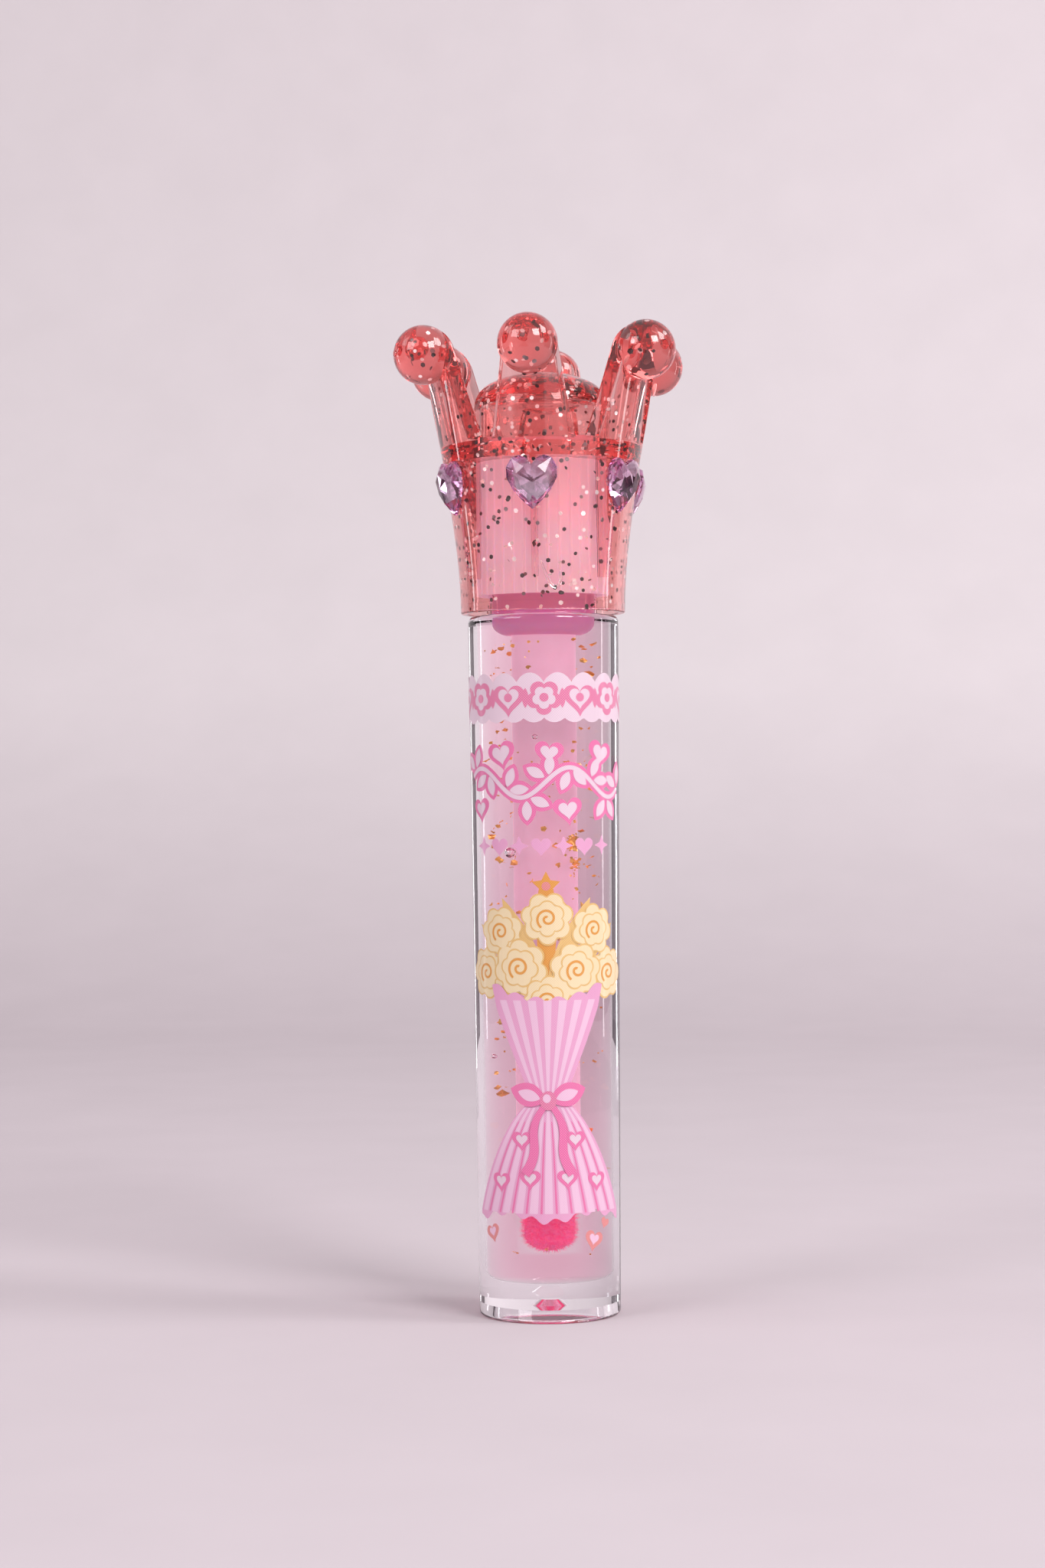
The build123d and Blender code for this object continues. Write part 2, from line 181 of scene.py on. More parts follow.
def soft_plastic(name, colour, deep):
    """Translucent moulded plastic with a little cloudiness between a colour and a deeper one."""
    material, tree, shader, output = new_material(name)
    set_inputs(shader, Roughness=0.35, IOR=1.5, Subsurface_Weight=0.8, Subsurface_Scale=SCATTER)
    set_inputs(shader, Subsurface_Radius=(1.0, 0.6, 0.7))
    cloud = noise_texture(tree, 500, detail=3.0)
    tint = ramp(tree, cloud.outputs[0], [(0.35, deep), (0.65, colour)])
    tree.links.new(tint.outputs["Color"], shader.inputs["Base Color"])
    return material


def stem_plastic():
    """Pale pink translucent rod with a painted glow: an emission that stands in for the light that the gel
    would carry to it.
    """
    material = soft_plastic("stem_plastic", (0.70, 0.36, 0.48), (0.66, 0.32, 0.44))
    shader = material.node_tree.nodes["Principled BSDF"]
    # Painted glow: the rod emits pink light so it looks lit inside the gel.
    set_inputs(shader, Emission_Color=(1.0, 0.66, 0.81), Emission_Strength=0.42)
    return material


def graded_plastic(name, heights, colours, painted_glow_colour, painted_glow):
    """Soft dyed plastic whose colour passes from one to another between two heights, with a painted glow from
    its emission.
    """
    material, tree, shader, output = new_material(name)
    set_inputs(shader, Roughness=0.3, IOR=1.5, Subsurface_Weight=0.8, Subsurface_Scale=SCATTER)
    # Painted glow: the emission brightens the plastic as if it were lit.
    set_inputs(shader, Emission_Color=painted_glow_colour, Emission_Strength=painted_glow)
    coordinates = tree.nodes.new("ShaderNodeTexCoord")
    apart = tree.nodes.new("ShaderNodeSeparateXYZ")
    height = tree.nodes.new("ShaderNodeMapRange")
    height.inputs["From Min"].default_value = heights[0]
    height.inputs["From Max"].default_value = heights[1]
    tree.links.new(coordinates.outputs["Object"], apart.inputs["Vector"])
    tree.links.new(apart.outputs["Z"], height.inputs["Value"])
    tint = ramp(tree, height.outputs["Result"], [(0.0, colours[0]), (1.0, colours[1])])
    tree.links.new(tint.outputs["Color"], shader.inputs["Base Color"])
    return material


def wiper_plastic():
    """Hot pink where the wiper's wall is thick and paler in its thin bowl."""
    heights = (WIPER_LOW[2] + 0.9 * MM, WIPER_LOW[2] + 2.6 * MM)
    colours = ((1.0, 0.44, 0.72), (1.0, 0.30, 0.66))
    # The last two values give the wiper a faint painted glow.
    return graded_plastic("wiper_plastic", heights, colours, (1.0, 0.34, 0.66), 0.1)


def inner_cap_plastic():
    """Pale pink low down, taking the crown's coral near the plate."""
    heights = (INNER_LOW[2] + 4 * MM, INNER_HIGH[2] - 2 * MM)
    colours = ((0.95, 0.88, 1.0), (1.0, 0.55, 0.55))
    # The last two values give the inner cap a painted lilac glow.
    return graded_plastic("inner_cap_plastic", heights, colours, (0.86, 0.74, 1.0), 0.40)


def flock_fibre():
    """Short dyed nylon flock, matte with a soft sheen and a painted glow."""
    material, tree, shader, output = new_material("flock_fibre")
    set_inputs(shader, Roughness=0.8, IOR=1.45, Sheen_Weight=0.5, Sheen_Roughness=0.5)
    set_inputs(shader, Sheen_Tint=(1, 0.6, 0.8), Subsurface_Weight=0.5, Subsurface_Scale=0.0008)
    # Painted glow: the emission makes the red flock look lit.
    set_inputs(shader, Emission_Color=(1.0, 0.07, 0.28), Emission_Strength=0.28)
    speck = noise_texture(tree, 2500, detail=2.0)
    tint = ramp(tree, speck.outputs[0], [(0.3, (0.92, 0.03, 0.24)), (0.7, (1.0, 0.20, 0.48))])
    tree.links.new(tint.outputs["Color"], shader.inputs["Base Color"])
    return material


def metal(name, colour, roughness, variation, painted_glint=0.0):
    """Metal foil whose brightness varies from flake to flake; painted_glint is an even glow painted on for
    glints of the lights.
    """
    material, tree, shader, output = new_material(name)
    # Painted glint: the foil emits its own colour at this strength.
    set_inputs(shader, Metallic=1.0, Roughness=roughness, Emission_Color=colour, Emission_Strength=painted_glint)
    patch = noise_texture(tree, 900, detail=1.0)
    dark = tuple(c * variation for c in colour)
    tint = ramp(tree, patch.outputs[0], [(0.35, dark), (0.6, colour)])
    tree.links.new(tint.outputs["Color"], shader.inputs["Base Color"])
    return material


def stone_glass():
    """Pale pink cut stone."""
    material, tree, shader, output = new_material("stone_glass")
    set_inputs(shader, Base_Color=(1, 1, 1), Roughness=0.0, IOR=1.56, Transmission_Weight=1.0)
    absorb(tree, output, (0.985, 0.60, 0.89), 130)
    return material


def glue_gel():
    """Clear set glue."""
    material, tree, shader, output = new_material("glue_gel")
    set_inputs(shader, Base_Color=(1, 1, 1), Roughness=0.05, IOR=1.5, Transmission_Weight=1.0)
    absorb(tree, output, (0.95, 0.75, 0.75), 80)
    return material


# ---- mesh helpers ----
def add_object(name, mesh, materials, body, smooth=True):
    """Links a mesh as a piece with its materials and rides it on a body."""
    piece = bpy.data.objects.new(name, mesh)
    bpy.context.scene.collection.objects.link(piece)
    for material in materials:
        mesh.materials.append(material)
    if smooth:
        mesh.shade_smooth()
    if body is not None:
        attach(piece, body)
    return piece


def close_tube(build, rings):
    """Joins a stack of rings with side faces and closes its two ends."""
    count = len(rings[0])
    for low, high in zip(rings, rings[1:]):
        for k in range(count):
            after = (k + 1) % count
            build.faces.new((low[k], low[after], high[after], high[k]))
    build.faces.new(list(reversed(rings[0])))
    build.faces.new(rings[-1])


def copy_of(node, name):
    """Copy of a CAD node's mesh, without its material."""
    mesh = NODES[node].data.copy()
    mesh.name = name
    mesh.materials.clear()
    return mesh


# ---- bottle ----
WET_REACH = 0.3 * MM  # a wall face is wetted when its middle is this near the gloss, or less
WET_DROP = 0.1 * MM
FLOOR_LIFT = 0.02 * MM


def make_bottle():
    """The CAD bottle's shape, with its wetted cavity wall told apart from its dry wall."""
    mesh = copy_of("bottle", "bottle_clear")
    for face in mesh.polygons:
        x, y, z = face.center
        beside = hypot(x, y) < GLOSS_HIGH[0] + WET_REACH
        level = GLOSS_LOW[2] - WET_DROP < z < GLOSS_HIGH[2]
        face.material_index = 1 if beside and level else 0
    piece = add_object("bottle_clear", mesh, [clear_wall(), wetted_wall()], "bottle", smooth=False)
    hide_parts("bottle")


def make_gel():
    """The gloss's own shape, with its floor lifted a hair off the cavity's floor."""
    mesh = copy_of("gloss_fill", "gloss_gel")
    low, high = GLOSS_LOW[2], GLOSS_HIGH[2]
    for vertex in mesh.vertices:
        vertex.co.z += FLOOR_LIFT * (high - vertex.co.z) / (high - low)
    piece = add_object("gloss_gel", mesh, [gloss_gel()], "bottle")
    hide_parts("gloss_fill")


make_bottle()
make_gel()


def dress(node, material):
    """Puts a material on a CAD node's object."""
    piece = NODES[node]
    for slot in piece.material_slots:
        slot.material = material


dress("wiper", wiper_plastic())
dress("wand_stem", stem_plastic())
dress("tip_core", soft_plastic("core_plastic", (0.85, 0.6, 0.7), (0.8, 0.5, 0.62)))
dress("inner_cap", inner_cap_plastic())
dress("crown_shell", crown_plastic())
glue = glue_gel()
for index in range(1, POINTS + 1):
    dress(f"gem_glue_{index}", glue)


# ---- heart stones ----
STONE_LEAN = radians(9)
HEART_HALF = [  # right half of the outline, from the notch down to near the point
    (0, 0.66),
    (0.2, 0.9),
    (0.48, 1),
    (0.78, 0.9),
    (0.98, 0.56),
    (0.97, 0.16),
    (0.72, -0.3),
    (0.36, -0.7),
]
GIRDLE_RISE = 0.45  # heights over the flat back, in mm
RING_RISE = 1.45
TOP_RISE = 1.73
RING_SCALE = 0.56  # size of the ring of corners over the girdle, against the girdle
RING_SHIFT = 0.06  # the ring and the top sit a little high in the heart
TOP_SHIFT = 0.05


def heart_ring():
    """Closed heart outline round its centre, in half widths and half heights."""
    left = [(-x, y) for x, y in reversed(HEART_HALF[1:])]
    return HEART_HALF + [(0, -1)] + left


def wall_axes(angle, lean):
    """Outward, sideways and upward directions of a patch of the crown's leaning wall."""
    outward = Vector((cos(angle) * cos(lean), sin(angle) * cos(lean), -sin(lean)))
    side = Vector((-sin(angle), cos(angle), 0))
    return outward, side, side.cross(outward) * -1


def stone_place(node, angle):
    """Centre of a stone's flat back, its half width and its half height, from its CAD node."""
    outward, side, up = wall_axes(angle, STONE_LEAN)
    spots = [vertex.co for vertex in NODES[node].data.vertices]
    heights = [spot.dot(up) for spot in spots]
    widths = [spot.dot(side) for spot in spots]
    back = min(spot.dot(outward) for spot in spots)
    middle = up * (max(heights) + min(heights)) / 2 + outward * back
    return middle, (max(widths) - min(widths)) / 2, (max(heights) - min(heights)) / 2


def make_stone(index, materials):
    """Faceted heart: silvered flat back, girdle, large facets up to a ring and a low fan over the top."""
    node = f"heart_gem_{index + 1}"
    angle = FRONT + index * 2 * pi / POINTS
    outward, side, up = wall_axes(angle, STONE_LEAN)
    middle, half_width, half_height = stone_place(node, angle)
    outline = heart_ring()
    build = bmesh.new()

    def point(x, y, scale, rise):
        place = middle + side * x * scale * half_width + up * y * scale * half_height
        return build.verts.new(place + outward * rise * MM)

    back = [point(x, y, 1.0, 0.0) for x, y in outline]
    girdle = [point(x, y, 1.0, GIRDLE_RISE) for x, y in outline]
    ring = [point(x, y + RING_SHIFT, RING_SCALE, RING_RISE) for x, y in outline[::2]]
    top = point(0.0, TOP_SHIFT, 1.0, TOP_RISE)
    count = len(outline)
    for i in range(count):
        after = (i + 1) % count
        build.faces.new((back[i], back[after], girdle[after], girdle[i]))
    for i in range(len(ring)):
        after = (i + 1) % len(ring)
        low, bend, high = girdle[2 * i], girdle[2 * i + 1], girdle[(2 * i + 2) % count]
        build.faces.new((low, bend, ring[i]))
        build.faces.new((bend, high, ring[after]))
        build.faces.new((bend, ring[after], ring[i]))
        build.faces.new((ring[i], ring[after], top))
    foil = build.faces.new(list(reversed(back)))
    foil.material_index = 1
    bmesh.ops.recalc_face_normals(build, faces=build.faces)
    mesh = bpy.data.meshes.new(f"cut_stone_{index + 1}")
    build.to_mesh(mesh)
    build.free()
    piece = add_object(f"cut_stone_{index + 1}", mesh, materials, "cap", smooth=False)
    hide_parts(node)


stone_materials = [stone_glass(), metal("stone_foil", (0.96, 0.80, 0.92), 0.02, 0.62)]
for index in range(POINTS):
    make_stone(index, stone_materials)


# ---- glitter in the crown ----
RAY_SKIP = 0.002 * MM  # a ray goes on from this far past the face that it met
PROBES = [Vector((0.3, 0.2, 1)), Vector((0.9, 0.1, -0.2))]


def surface_tree(node):
    """Search tree of a CAD node's surface."""
    build = bmesh.new()
    build.from_mesh(NODES[node].data)
    tree = BVHTree.FromBMesh(build)
    build.free()
    return tree


def crossings(tree, point, direction):
    """How many times a ray from a point passes through a surface."""
    count = 0
    start = point
    while True:
        place, normal, face, distance = tree.ray_cast(start, direction)
        if place is None:
            return count
        count += 1
        start = place + direction * RAY_SKIP


def depth_inside(tree, point):
    """How deep a point lies inside a closed surface, and that surface's direction there; 0 outside."""
    place, normal, face, distance = tree.find_nearest(point)
    inside = all(crossings(tree, point, probe) % 2 for probe in PROBES)
    return (distance, normal) if inside else (0.0, normal)


def tilted(direction, most, draw):
    """Direction turned by a random angle up to most, in a random sense."""
    other = Vector((draw.gauss(0, 1), draw.gauss(0, 1), draw.gauss(0, 1)))
    axis = direction.cross(other).normalized()
    return Matrix.Rotation(draw.uniform(0, most), 3, axis) @ direction


def add_hexagon(build, centre, normal, radius, thickness, turn):
    """Thin closed hexagonal flake."""
    first = normal.orthogonal().normalized()
    second = normal.cross(first)
    layers = []
    for sign in (1, -1):
        layers.append([
            build.verts.new(
                centre
                + first * radius * cos(turn + k * pi / 3)
                + second * radius * sin(turn + k * pi / 3)
                + normal * sign * thickness / 2
            )
            for k in range(6)
        ])
    build.faces.new(layers[0])
    build.faces.new(list(reversed(layers[1])))
    for k in range(6):
        after = (k + 1) % 6
        build.faces.new((layers[0][k], layers[1][k], layers[1][after], layers[0][after]))


GLITTER_SHARES = (4, 4, 7)  # dark, grey and bright flakes
FLAKE_THICKNESS = 0.02 * MM
FLAKE_COVER = 0.2 * MM  # least depth of a flake's middle under the plastic's surface
SKIN = 0.32 * MM  # flakes less deep than this lie nearly flat along the surface
PLATE_HEIGHT = 98.9 * MM  # underside of the plate across the crown
DOME_FOOT = 100.95 * MM
DOME_RADIUS = 7.95 * MM


def glitter_share(point):
    """Share of the flakes kept at a place: the thick points and balls would otherwise swallow them all."""
    reach = hypot(point.x, point.y)
    if point.z < PLATE_HEIGHT:
        return 1.0
    if point.z < DOME_FOOT:
        return 0.7
    if reach < DOME_RADIUS:
        return 1.0
    return 0.35


def make_glitter(count):
    """Hexagons in three tones all through the crown's plastic, the shallow ones nearly flat in its skin."""
    draw = random.Random(7)
    tree = surface_tree("crown_shell")
    build = bmesh.new()
    made = 0
    while made < count:
        point = Vector([draw.uniform(a, b) for a, b in zip(CROWN_LOW, CROWN_HIGH)])
        deep, normal = depth_inside(tree, point)
        if deep < FLAKE_COVER or draw.random() > glitter_share(point):
            continue
        most = radians(25) if deep < SKIN else radians(80)
        radius = draw.uniform(0.22, 0.29) * MM
        first_face = len(build.faces)
        add_hexagon(build, point, tilted(normal, most, draw), radius, FLAKE_THICKNESS, draw.uniform(0, pi))
        build.faces.ensure_lookup_table()
        tone = draw.choices((0, 1, 2), weights=GLITTER_SHARES)[0]
        for face in build.faces[first_face:]:
            face.material_index = tone
        made += 1
    mesh = bpy.data.meshes.new("crown_glitter")
    build.to_mesh(mesh)
    build.free()
    tones = [
        metal("glitter_dark", (0.10, 0.075, 0.08), 0.3, 0.5),
        metal("glitter_grey", (0.45, 0.42, 0.44), 0.3, 0.6),
        # The silver flakes carry a painted glint, an emission of 0.42.
        metal("glitter_silver", (0.97, 0.96, 0.97), 0.25, 0.85, 0.42),
    ]
    piece = add_object("crown_glitter", mesh, tones, "cap", smooth=False)


make_glitter(1550)


# ---- run of glue under the front stone ----
DRIP = [  # place across the wall and height of the run's middle line, in mm
    (-0.2, 87.0),
    (0.35, 85.3),
    (0.9, 84.2),
    (1.45, 83.8),
    (1.95, 84.1),
    (2.15, 84.9),
    (2.0, 86.0),
]
DRIP_TURN = radians(5.6)  # round from the crown's front
DRIP_SPREAD = 1.65 / CROWN_HIGH[0]  # radians round the crown for each metre across
DRIP_RADIUS = 0.13 * MM
DRIP_GAP = 0.03 * MM
DRIP_SIDES = 10


def make_drip():
    """Thin run of set glue that hangs in a loop on the crown's wall, thickest where it turns."""
    tree = surface_tree("crown_shell")
    spots = []
    for s, z in DRIP:
        turn = FRONT + DRIP_TURN + s * MM * DRIP_SPREAD
        outward = Vector((cos(turn), sin(turn), 0))
        outside = outward * 2 * CROWN_HIGH[0] + Vector((0, 0, z * MM))
        place, normal, face, distance = tree.ray_cast(outside, -outward)
        spots.append((place, normal))
    build = bmesh.new()
    turns = [2 * pi * step / DRIP_SIDES for step in range(DRIP_SIDES)]
    rings = []
    for k, (place, normal) in enumerate(spots):
        along = (spots[min(k + 1, len(spots) - 1)][0] - spots[max(k - 1, 0)][0]).normalized()
        side = along.cross(normal).normalized()
        thick = DRIP_RADIUS * (0.45 + 0.75 * sin(pi * (k + 0.5) / len(spots)))
        centre = place + normal * (thick + DRIP_GAP)
        ways = [side * cos(turn) * 1.5 + normal * sin(turn) for turn in turns]
        rings.append([build.verts.new(centre + way * thick) for way in ways])
    close_tube(build, rings)
    bmesh.ops.recalc_face_normals(build, faces=build.faces)
    mesh = bpy.data.meshes.new("glue_run")
    build.to_mesh(mesh)
    build.free()
    piece = add_object("glue_run", mesh, [glue], "cap")
    smooth = piece.modifiers.new("smooth", "SUBSURF")
    smooth.levels = 2
    smooth.render_levels = 2


make_drip()


# ---- what floats in the gloss ----
GEL_LOW = GLOSS_LOW[2] + 0.8 * MM
GEL_HIGH = WIPER_LOW[2] - 0.5 * MM
GEL_RADIUS = GLOSS_HIGH[0] - 0.55 * MM
WAND_CLEAR = FLOCK_HIGH[0] + 0.55 * MM
FOIL_CRUMPLE = 0.12  # height of a scrap's middle over its rim, against its size
FOIL_THICKNESS = 0.02 * MM


def add_foil(build, centre, size, draw):
    """Crumpled scrap of foil: an uneven outline with two centres, one each side."""
    normal = tilted(Vector((0, -1, 0)), pi, draw)
    first = normal.orthogonal().normalized()
    second = normal.cross(first)
    count = draw.randint(5, 8)
    rim = []
    for k in range(count):
        reach = size * draw.uniform(0.45, 1.0)
        lift = size * draw.uniform(-0.3, 0.3)
        turn = 2 * pi * (k + draw.uniform(-0.25, 0.25)) / count
        rim.append(build.verts.new(centre + (first * cos(turn) + second * sin(turn)) * reach + normal * lift))
    crest = build.verts.new(centre + normal * size * FOIL_CRUMPLE)
    hollow = build.verts.new(centre + normal * (size * FOIL_CRUMPLE - FOIL_THICKNESS))
    for k in range(count):
        after = (k + 1) % count
        build.faces.new((rim[k], rim[after], crest))
        build.faces.new((rim[after], rim[k], hollow))


def gel_point(draw):
    """Random place in the gloss, clear of the wand and the wall, more often high up than low down."""
    while True:
        x, y = draw.uniform(-GEL_RADIUS, GEL_RADIUS), draw.uniform(-GEL_RADIUS, GEL_RADIUS)
        if WAND_CLEAR < hypot(x, y) < GEL_RADIUS:
            return Vector((x, y, GEL_LOW + (GEL_HIGH - GEL_LOW) * draw.random() ** 0.65))


FOIL_CLUMPS = [(2.75, -3.0, 54.8, 110), (2.95, -2.8, 52.2, 24)]  # place in mm, and number of scraps


def make_foil_flakes(count):
    """Gold foil scraps through the gloss, a few large and most small, with one clump near the front."""
    draw = random.Random(24)
    build = bmesh.new()
    for _ in range(count):
        size = (0.13 + 0.42 * draw.random() ** 2.0) * MM
        add_foil(build, gel_point(draw), size, draw)
    for x, y, z, number in FOIL_CLUMPS:
        for _ in range(number):
            offset = Vector((draw.gauss(0, 0.3), draw.gauss(0, 0.2), draw.gauss(0, 0.45)))
            add_foil(build, (Vector((x, y, z)) + offset) * MM, draw.uniform(0.14, 0.32) * MM, draw)
    mesh = bpy.data.meshes.new("gold_foil")
    build.to_mesh(mesh)
    build.free()
    # The gold leaf carries a painted glint, an emission of 0.22 that brightens it.
    leaf_gold = metal("gold_leaf", (1.0, 0.52, 0.16), 0.35, 0.45, 0.22)
    piece = add_object("gold_foil", mesh, [leaf_gold], "bottle", smooth=False)


def bubble_air():
    """Air in the gloss: light bends the other way."""
    material, tree, shader, output = new_material("bubble_air")
    tree.nodes.remove(shader)
    glass = tree.nodes.new("ShaderNodeBsdfGlass")
    glass.inputs["IOR"].default_value = 1 / GLOSS_IOR
    glass.inputs["Roughness"].default_value = 0.0
    tree.links.new(glass.outputs["BSDF"], output.inputs["Surface"])
    return material


BUBBLES = [  # place and radius, in mm
    (-2.85, -2.85, 53.7, 0.6),
    (-0.5, -4.0, 67.0, 0.3),
    (-3.9, 1.0, 30.0, 0.25),
    (3.2, 2.6, 61.0, 0.35),
]


def make_bubbles():
    """A few round air bubbles held in the gel."""
    build = bmesh.new()
    for x, y, z, radius in BUBBLES:
        place = Matrix.Translation(Vector((x, y, z)) * MM)
        bmesh.ops.create_icosphere(build, subdivisions=4, radius=radius * MM, matrix=place)
    mesh = bpy.data.meshes.new("air_bubbles")
    build.to_mesh(mesh)
    build.free()
    piece = add_object("air_bubbles", mesh, [bubble_air()], "bottle")


make_foil_flakes(330)
make_bubbles()


# ---- flocked tip ----
FLOCK_CORE = 0.42 * MM  # depth of the fibres' roots under the flocking's surface
FLOCK_RADIUS = FLOCK_HIGH[0]
ROOT_SINK = 0.05 * MM  # how far a fibre starts inside the core
FIBRE_WIDTH = 0.022 * MM


def add_hair(build, root, direction, length, width):
    """Three-sided tapering fibre."""
    first = direction.orthogonal().normalized() * width
    second = direction.cross(first)
    turns = (0, 2 * pi / 3, 4 * pi / 3)
    base = [build.verts.new(root + first * cos(turn) + second * sin(turn)) for turn in turns]
    tip = build.verts.new(root + direction * length)
    build.faces.new(list(reversed(base)))
    for k in range(3):
        build.faces.new((base[k], base[(k + 1) % 3], tip))


def make_flock(count):
    """Rounded core of the flocking with short fibres that stand out of it at random leans."""
    draw = random.Random(5)
    inner = FLOCK_RADIUS - FLOCK_CORE
    nose = FLOCK_LOW[2] + FLOCK_RADIUS
    top = FLOCK_HIGH[2]
    build = bmesh.new()
    rows = [(inner * sin(radians(a)), nose - inner * cos(radians(a))) for a in range(10, 91, 10)]
    rows.append((inner, top))
    segments = 48
    turns = [2 * pi * k / segments for k in range(segments)]
    rings = [[build.verts.new((r * cos(turn), r * sin(turn), z)) for turn in turns] for r, z in rows]
    close_tube(build, rings)
    side_share = (top - nose) / (top - nose + inner)
    for _ in range(count):
        turn = draw.uniform(0, 2 * pi)
        along = draw.random()
        if along < side_share:
            out = Vector((cos(turn), sin(turn), 0))
            root = out * inner + Vector((0, 0, nose + (top - nose) * draw.random()))
        else:
            dip = radians(90) * draw.random() ** 0.5
            out = Vector((cos(turn) * sin(dip), sin(turn) * sin(dip), -cos(dip)))
            root = out * inner + Vector((0, 0, nose))
        lean = tilted(out, radians(38), draw)
        length = (0.30 + 0.36 * draw.random() ** 1.5) * MM
        add_hair(build, root - lean * ROOT_SINK, lean, length, FIBRE_WIDTH)
    mesh = bpy.data.meshes.new("flock_fibres")
    build.to_mesh(mesh)
    build.free()
    piece = add_object("flock_fibres", mesh, [flock_fibre()], "wand", smooth=False)
    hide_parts("tip_flock")


make_flock(6000)


# ---- printing on the tube ----
PRINT_TURN = radians(5.6)  # the printing's middle, round from the crown's front
PRINT_RADIUS = 8.5 * MM  # arc lengths along the tube are turned into angles at this radius
INK = 0.01 * MM  # thickness of one film of ink
INK_GAP = 0.02 * MM  # clear space between the tube wall and the lowest film
LEVEL_STEP = 1.3  # films of ink from one level to the next
SCREEN = 0.2  # pitch of the printing screen's dots, in mm
OUTLINE_STEP = 0.45  # widest flat step across a film, in mm
CUT_SHIFT = 0.011  # keeps the cuts of a film off its outline's points, in mm


def tube_wall_ends():
    """Height and outer radius of the tube wall near its foot, then near its shoulder, from 1 mm rows."""
    rows = {}
    for vertex in NODES["bottle"].data.vertices:
        reach = hypot(vertex.co.x, vertex.co.y)
        key = round(vertex.co.z / MM)
        rows[key] = max(rows.get(key, 0.0), reach)
    low = [key for key in rows if key < 10]
    high = [key for key in rows if 70 < key < 81]
    first, last = max(low, key=lambda k: rows[k]), max(high, key=lambda k: rows[k])
    return first * MM, rows[first], last * MM, rows[last]


FOOT_Z, FOOT_R, SHOULDER_Z, SHOULDER_R = tube_wall_ends()


def wall_radius(z):
    """Tube wall's outer radius at a height, in metres."""
    return FOOT_R + (SHOULDER_R - FOOT_R) * (z - FOOT_Z) / (SHOULDER_Z - FOOT_Z)


def circle(x, z, radius, squash=1.0):
    """Round or oval outline."""
    turns = [2 * pi * k / 28 for k in range(28)]
    return [(x + radius * cos(t), z + radius * squash * sin(t)) for t in turns]


def petals(x, z, radius, number, depth, start):
    """Scalloped outline of a bloom with a number of rounded petals."""
    turns = [2 * pi * k / 72 for k in range(72)]
    reach = [radius * (1 - depth + depth * abs(sin(number * (t - start) / 2)) ** 0.6) for t in turns]
    return [(x + r * cos(t), z + r * sin(t)) for t, r in zip(turns, reach)]


def heart(x, z, size, tilt=0.0):
    """Heart outline about size wide, leaning by tilt."""
    count = 32
    loop = []
    for k in range(count):
        t = 2 * pi * k / count
        a = 16 * sin(t) ** 3
        b = 13 * cos(t) - 5 * cos(2 * t) - 2 * cos(3 * t) - cos(4 * t)
        a, b = a * size / 32, b * size / 32
        loop.append((x + a * cos(tilt) - b * sin(tilt), z + a * sin(tilt) + b * cos(tilt)))
    return loop[::-1]


def star(x, z, radius, points, waist):
    """Star outline with one point upwards; waist is the inner corners' share of the radius."""
    loop = []
    for k in range(2 * points):
        reach = radius if k % 2 == 0 else radius * waist
        turn = pi / 2 + pi * k / points
        loop.append((x + reach * cos(turn), z + reach * sin(turn)))
    return loop


def ribbon(line, widths):
    """Outline of a stroke that follows a line, with a width at each point."""
    left, right = [], []
    for k, (x, z) in enumerate(line):
        before, after = line[max(k - 1, 0)], line[min(k + 1, len(line) - 1)]
        dx, dz = after[0] - before[0], after[1] - before[1]
        size = hypot(dx, dz)
        wide = (widths[k] if isinstance(widths, list) else widths) / 2
        left.append((x - dz / size * wide, z + dx / size * wide))
        right.append((x + dz / size * wide, z - dx / size * wide))
    return left + right[::-1]


def leaf(x, z, length, width, turn):
    """Pointed leaf outline from its stalk at a place, pointing along turn."""
    count = 12
    loop = []
    for side in (1, -1):
        steps = range(count) if side > 0 else range(count, 0, -1)
        for k in steps:
            t = k / count
            a, b = length * t, side * width / 2 * sin(pi * t) ** 0.8
            loop.append((x + a * cos(turn) - b * sin(turn), z + a * sin(turn) + b * cos(turn)))
    return loop


def curve(function, start, stop, count):
    """Points of a function of one value between two values."""
    return [function(start + (stop - start) * k / count) for k in range(count + 1)]


def ink(name, colour, dots, share):
    """Printing ink built from a fine screen: dots of a second colour over the first."""
    material, tree, shader, output = new_material(name)
    set_inputs(shader, Roughness=0.38, IOR=1.5, Coat_Weight=0.25, Coat_Roughness=0.1)
    flat = tree.nodes.new("ShaderNodeUVMap")
    mapping = tree.nodes.new("ShaderNodeMapping")
    mapping.inputs["Rotation"].default_value = (0, 0, radians(45))
    mapping.inputs["Scale"].default_value = (2 * pi / SCREEN, 2 * pi / SCREEN, 1)
    apart = tree.nodes.new("ShaderNodeSeparateXYZ")
    tree.links.new(flat.outputs["UV"], mapping.inputs["Vector"])
    tree.links.new(mapping.outputs["Vector"], apart.inputs["Vector"])
    waves = []
    for axis in ("X", "Y"):
        wave = tree.nodes.new("ShaderNodeMath")
        wave.operation = "SINE"
        tree.links.new(apart.outputs[axis], wave.inputs[0])
        waves.append(wave)
    both = tree.nodes.new("ShaderNodeMath")
    both.operation = "ADD"
    tree.links.new(waves[0].outputs[0], both.inputs[0])
    tree.links.new(waves[1].outputs[0], both.inputs[1])
    spread = tree.nodes.new("ShaderNodeMapRange")
    spread.inputs["From Min"].default_value = -2
    spread.inputs["From Max"].default_value = 2
    tree.links.new(both.outputs[0], spread.inputs["Value"])
    tint = ramp(tree, spread.outputs["Result"], [(share - 0.09, colour), (share + 0.09, dots)])
    tree.links.new(tint.outputs["Color"], shader.inputs["Base Color"])
    return material


